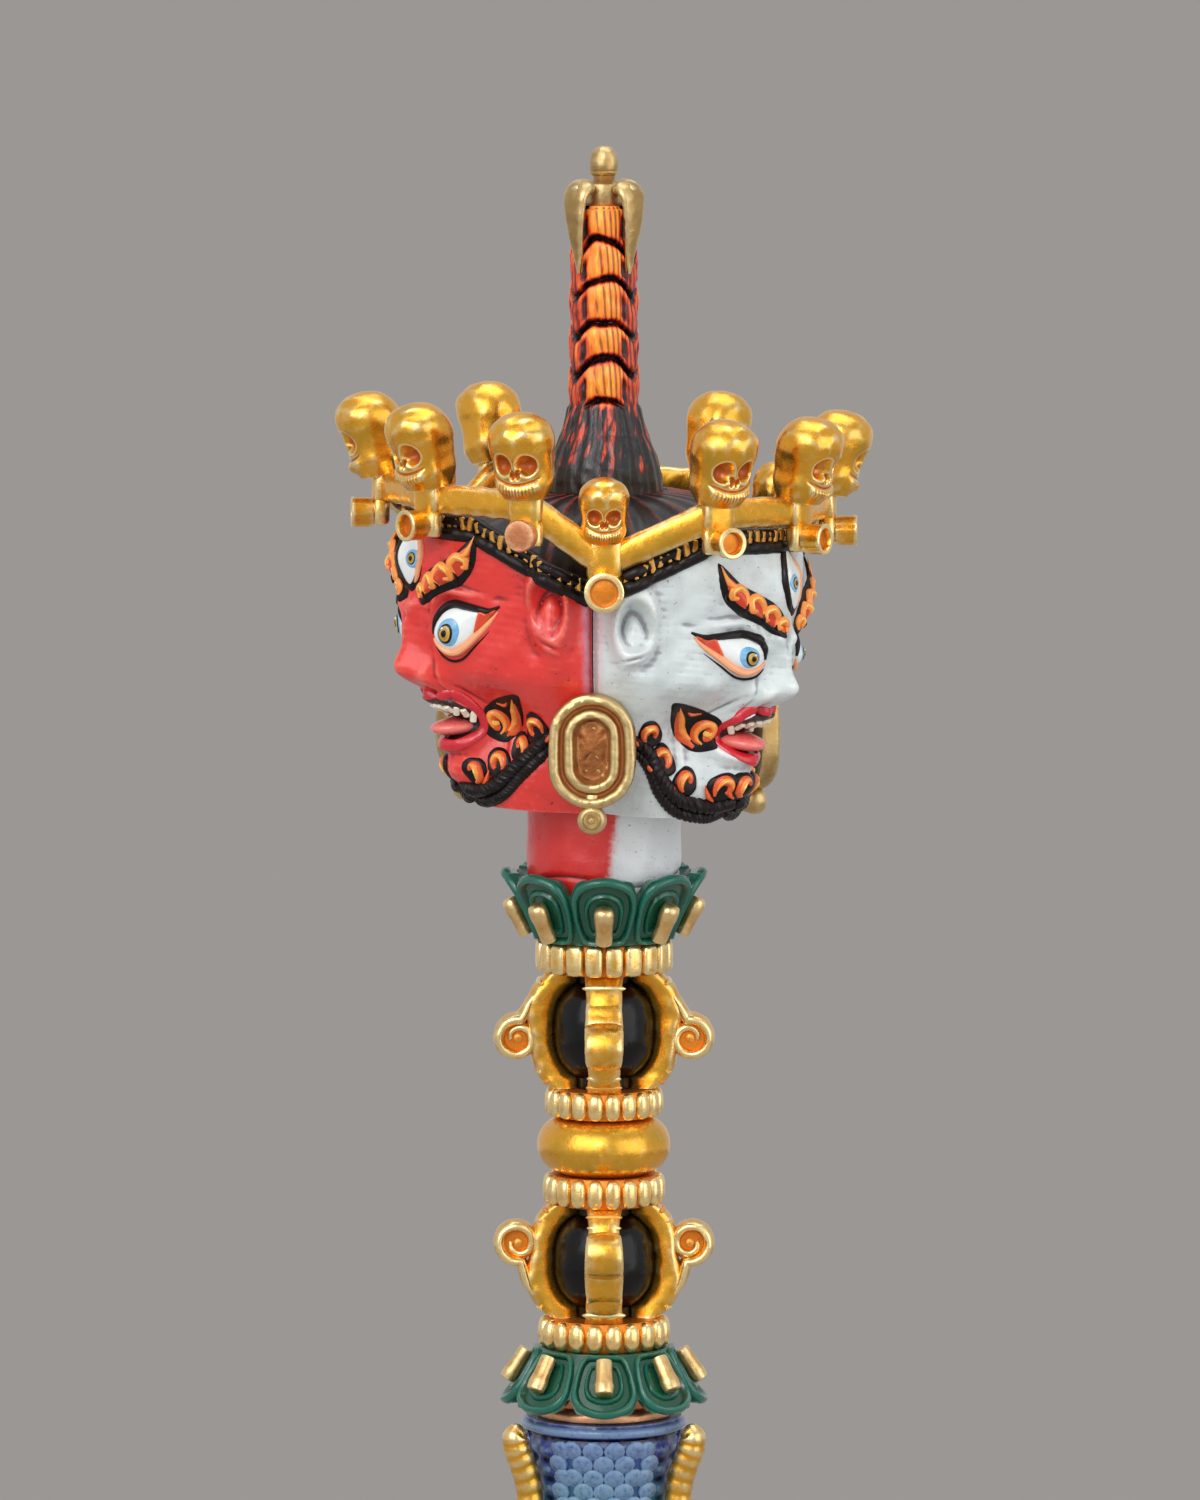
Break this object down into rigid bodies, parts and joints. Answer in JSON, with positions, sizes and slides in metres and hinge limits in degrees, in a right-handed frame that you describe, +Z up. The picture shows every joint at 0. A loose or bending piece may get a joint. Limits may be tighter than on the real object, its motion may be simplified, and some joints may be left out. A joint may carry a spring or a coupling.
{
  "type": "ritual dagger",
  "caption": "Phurba with a triangular blade under a makara, a vajra grip with lotuses and bead rings, wrathful heads in a skull crown, a bound topknot and a claw finial",
  "frame": {"origin": "the blade's tip, on the axis of the tie rod", "axes": "+Z runs up the axis from the tip to the finial; -Y faces the junction of the red and the white head; +X is on the white head's side"},
  "size_m": [0.0539, 0.0526, 0.25],
  "materials": {
    "rod_steel": "plain drawn rod",
    "gilding": "bright fire gilding with orange in the hollows",
    "pale_gold": "duller gilding, satin",
    "old_brass": "aged gilding, satin, brown in the hollows",
    "bare_copper": "bare copper, toned brown",
    "red_paint": "satin hand painting over copper",
    "white_paint": "satin hand painting over copper, grey in the hollows",
    "blue_paint": "satin hand painting over copper",
    "makara_blue": "blue to teal glaze over scales",
    "lotus_green": "glossy deep green paint",
    "black_lacquer": "glossy black paint",
    "hair_orange": "orange and yellow strokes over black"
  },
  "bodies": {
    "root": {"tie_rod": "rod_steel", "blade": "gilding", "naga_pair_1": "lotus_green", "naga_pair_2": "lotus_green", "naga_pair_3": "lotus_green", "gum_plate": "red_paint", "makara_body": "makara_blue", "makara_trunk_1": "gilding", "makara_trunk_2": "gilding", "makara_trunk_3": "gilding", "lotus_seat": "bare_copper", "lower_lotus": "lotus_green", "lower_stamens": "pale_gold", "bead_ring_4": "gilding", "lower_prong_1": "gilding", "lower_prong_2": "gilding", "lower_prong_3": "gilding", "lower_prong_4": "gilding", "lower_core": "black_lacquer", "bead_ring_3": "gilding", "grip_knob": "gilding", "bead_ring_2": "gilding", "upper_prong_1": "gilding", "upper_prong_2": "gilding", "upper_prong_3": "gilding", "upper_prong_4": "gilding", "upper_core": "black_lacquer", "bead_ring_1": "gilding", "upper_lotus": "lotus_green", "upper_stamens": "pale_gold", "neck": "red_paint", "face_red": "red_paint", "face_white": "white_paint", "face_blue": "blue_paint", "earring_1": "old_brass", "earring_2": "old_brass", "earring_3": "old_brass", "hair_cap": "black_lacquer", "crown_band": "gilding", "skulls_red": "gilding", "skulls_white": "gilding", "skulls_blue": "gilding", "junction_skulls": "gilding", "jewel_cups": "pale_gold", "topknot": "hair_orange", "finial_hub": "old_brass", "finial_claw_1": "old_brass", "finial_claw_2": "old_brass", "finial_claw_3": "old_brass", "finial_claw_4": "old_brass"}
  },
  "joints": []
}
